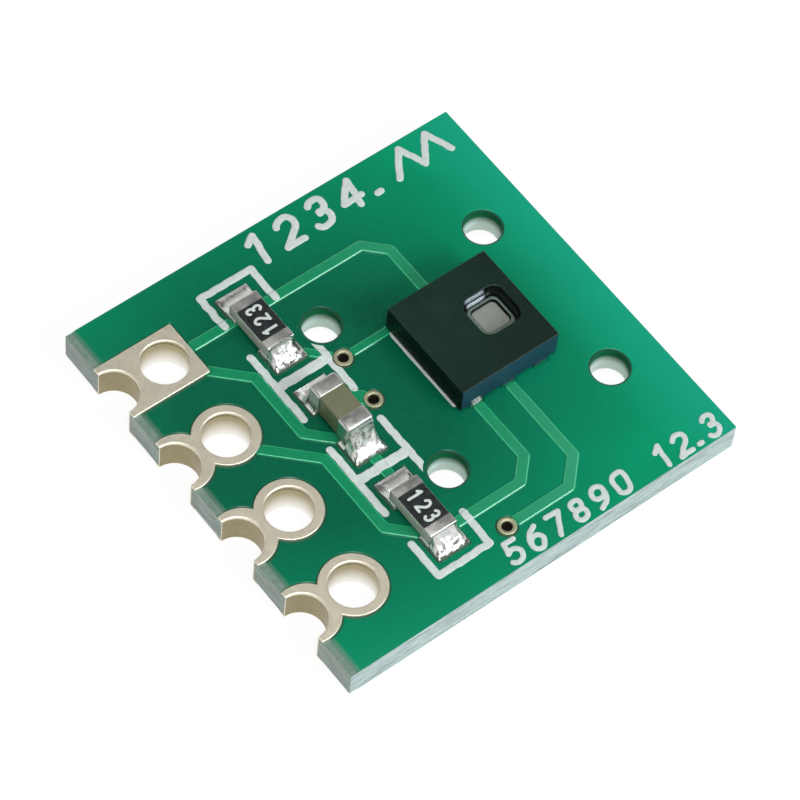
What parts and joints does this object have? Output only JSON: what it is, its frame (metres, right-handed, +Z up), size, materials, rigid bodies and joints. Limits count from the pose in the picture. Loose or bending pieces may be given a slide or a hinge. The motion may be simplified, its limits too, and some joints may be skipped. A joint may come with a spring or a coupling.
{
  "type": "temperature humidity sensor module",
  "caption": "Small green circuit board with an open-window temperature and humidity sensor, chip resistors and capacitor, and a plated pin row with half holes.",
  "frame": {"origin": "under the middle of the board, level with the undersides of the plated lands", "axes": "+X from the half-hole edge to the far edge, +Y along the pin row towards the square-cornered land, +Z up through the sensor"},
  "size_m": [0.0118, 0.0116, 0.0018],
  "materials": {
    "laminate": "cut edge of glass-epoxy board, satin",
    "solder_mask": "glossy green solder mask",
    "gold_plate": "immersion gold over nickel, satin",
    "copper_track": "etched copper foil under the mask",
    "tin_solder": "bright lead-free solder",
    "end_cap": "matt tin plate",
    "alumina": "pale sintered alumina",
    "resistor_glaze": "black protective glaze",
    "capacitor_ceramic": "olive brown barium titanate",
    "moulding": "black moulding compound, fine matt",
    "silicon": "grey polished silicon under a polyimide film",
    "dam": "grey photo-set resin",
    "ink": "white marking ink, matt"
  },
  "bodies": {
    "root": {"board_laminate": "laminate", "solder_mask_top": "solder_mask", "solder_mask_bottom": "solder_mask", "land_supply": "gold_plate", "land_data": "gold_plate", "land_clock": "gold_plate", "land_ground": "gold_plate", "via_clock": "gold_plate", "via_ground_capacitor": "gold_plate", "via_ground_sensor": "gold_plate", "track_supply": "copper_track", "track_data": "copper_track", "track_clock": "copper_track", "track_ground": "copper_track", "track_clock_under": "copper_track", "track_ground_under": "copper_track", "chip_lands": "gold_plate", "sensor_lands": "gold_plate", "solder_resistor_1": "tin_solder", "solder_capacitor": "tin_solder", "solder_resistor_2": "tin_solder", "solder_sensor": "tin_solder", "resistor_1_body": "alumina", "resistor_1_glaze": "resistor_glaze", "resistor_1_caps": "end_cap", "resistor_2_body": "alumina", "resistor_2_glaze": "resistor_glaze", "resistor_2_caps": "end_cap", "capacitor_body": "capacitor_ceramic", "capacitor_caps": "end_cap", "sensor_cover": "moulding", "sensor_leads": "end_cap", "sensor_paddle": "end_cap", "sensing_die": "silicon", "window_dam": "dam", "signal_chip": "silicon", "silkscreen": "ink"}
  },
  "joints": []
}
